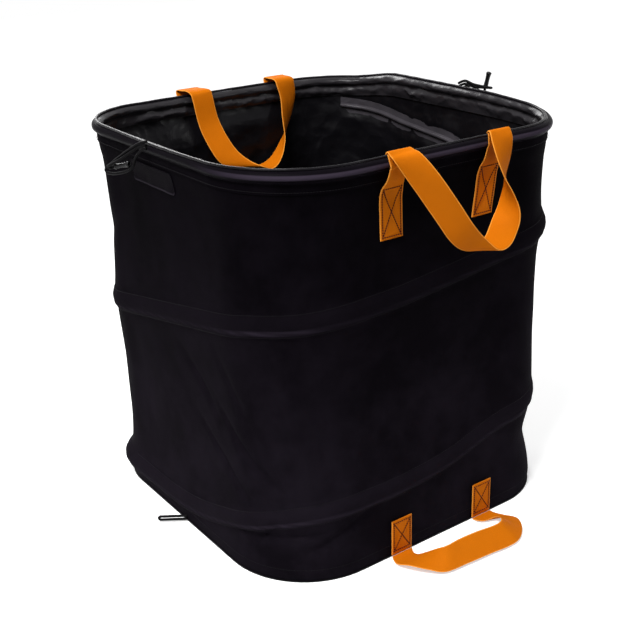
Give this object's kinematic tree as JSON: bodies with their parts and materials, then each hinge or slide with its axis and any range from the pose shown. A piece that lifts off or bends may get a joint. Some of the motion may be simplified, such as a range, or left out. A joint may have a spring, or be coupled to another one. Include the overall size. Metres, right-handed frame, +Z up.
{
  "type": "pop up leaf bag",
  "caption": "Square fabric garden bag with rounded corners, held open by wire hoops and a spiral wire, with webbing carry handles at the rim and a tipping handle at the base.",
  "frame": {"origin": "centre of the bag's square base, on the floor", "axes": "+Z up; -Y is the front, with the carry handle hanging outside and the tipping handle on the floor; the label is on -X"},
  "size_m": [0.6295, 0.6515, 0.6335],
  "materials": {
    "fabric": "matte near-black woven polyester",
    "lining": "near-black coated fabric with a soft sheen",
    "webbing": "orange ribbed webbing",
    "steel": "spring steel wire",
    "elastic": "black braided elastic cord",
    "plastic": "black gloss"
  },
  "bodies": {
    "base": {"base_panel": "fabric", "side_wall": "fabric", "base_hem": "fabric", "base_wire": "steel", "base_ferrule": "steel", "spiral_wire": "steel", "spiral_sleeve": "lining", "label": "lining", "tip_left_tab": "webbing", "tip_right_tab": "webbing"},
    "rim": {"rim_hem": "fabric", "rim_piping": "fabric", "rim_wire": "steel", "rim_ferrule": "steel", "front_left_tab": "webbing", "front_right_tab": "webbing", "rear_left_tab": "webbing", "rear_right_tab": "webbing"},
    "front_handle": {"front_handle_loop": "webbing"},
    "rear_handle": {"rear_handle_loop": "webbing"},
    "tip_handle": {"tip_handle_loop": "webbing"},
    "left_toggle": {"left_toggle_loop": "elastic", "left_toggle_lead": "elastic", "left_toggle_barrel": "plastic"},
    "right_toggle": {"right_toggle_loop": "elastic", "right_toggle_lead": "elastic", "right_toggle_barrel": "plastic"},
    "left_base_loop": {"left_base_loop": "elastic"},
    "right_base_loop": {"right_base_loop": "elastic"}
  },
  "joints": [
    {"name": "collapse", "type": "slide", "parent": "base", "child": "rim", "axis": [0, 0, 1], "range_m": [-0.512, 0], "stiffness_N_per_m": 100, "springref_m": 0.15, "deforming": ["side_wall", "spiral_wire", "spiral_sleeve", "label", "tip_left_tab", "tip_right_tab", "front_left_tab", "front_right_tab", "front_handle_loop", "rear_left_tab", "rear_right_tab", "rear_handle_loop"]},
    {"name": "front_handle_fold", "type": "hinge", "parent": "rim", "child": "front_handle", "pos_m": [0.002, -0.2855, 0.609], "axis": [-1, 0, 0], "range_deg": [0, 165]},
    {"name": "rear_handle_fold", "type": "hinge", "parent": "rim", "child": "rear_handle", "pos_m": [0.025, 0.2855, 0.607], "axis": [-1, 0, 0], "range_deg": [0, 150]},
    {"name": "tip_handle_fold", "type": "hinge", "parent": "base", "child": "tip_handle", "pos_m": [0.016, -0.2756, 0.0013], "axis": [-1, 0, 0], "range_deg": [0, 60]},
    {"name": "left_toggle_swing", "type": "hinge", "parent": "rim", "child": "left_toggle", "pos_m": [-0.2815, 0.006, 0.59281], "axis": [-0.9063, -0.4226, 0], "range_deg": [0, 25], "stiffness_Nm_per_rad": 0.05},
    {"name": "right_toggle_swing", "type": "hinge", "parent": "rim", "child": "right_toggle", "pos_m": [0.2815, -0.006, 0.59281], "axis": [0.9063, 0.4226, 0], "range_deg": [0, 75], "stiffness_Nm_per_rad": 0.05},
    {"name": "left_base_loop_lift", "type": "hinge", "parent": "base", "child": "left_base_loop", "pos_m": [-0.27333, 0, 0.0148], "axis": [0, 1, 0], "range_deg": [0, 60]},
    {"name": "right_base_loop_lift", "type": "hinge", "parent": "base", "child": "right_base_loop", "pos_m": [0.27333, 0, 0.0148], "axis": [0, -1, 0], "range_deg": [0, 60]}
  ]
}
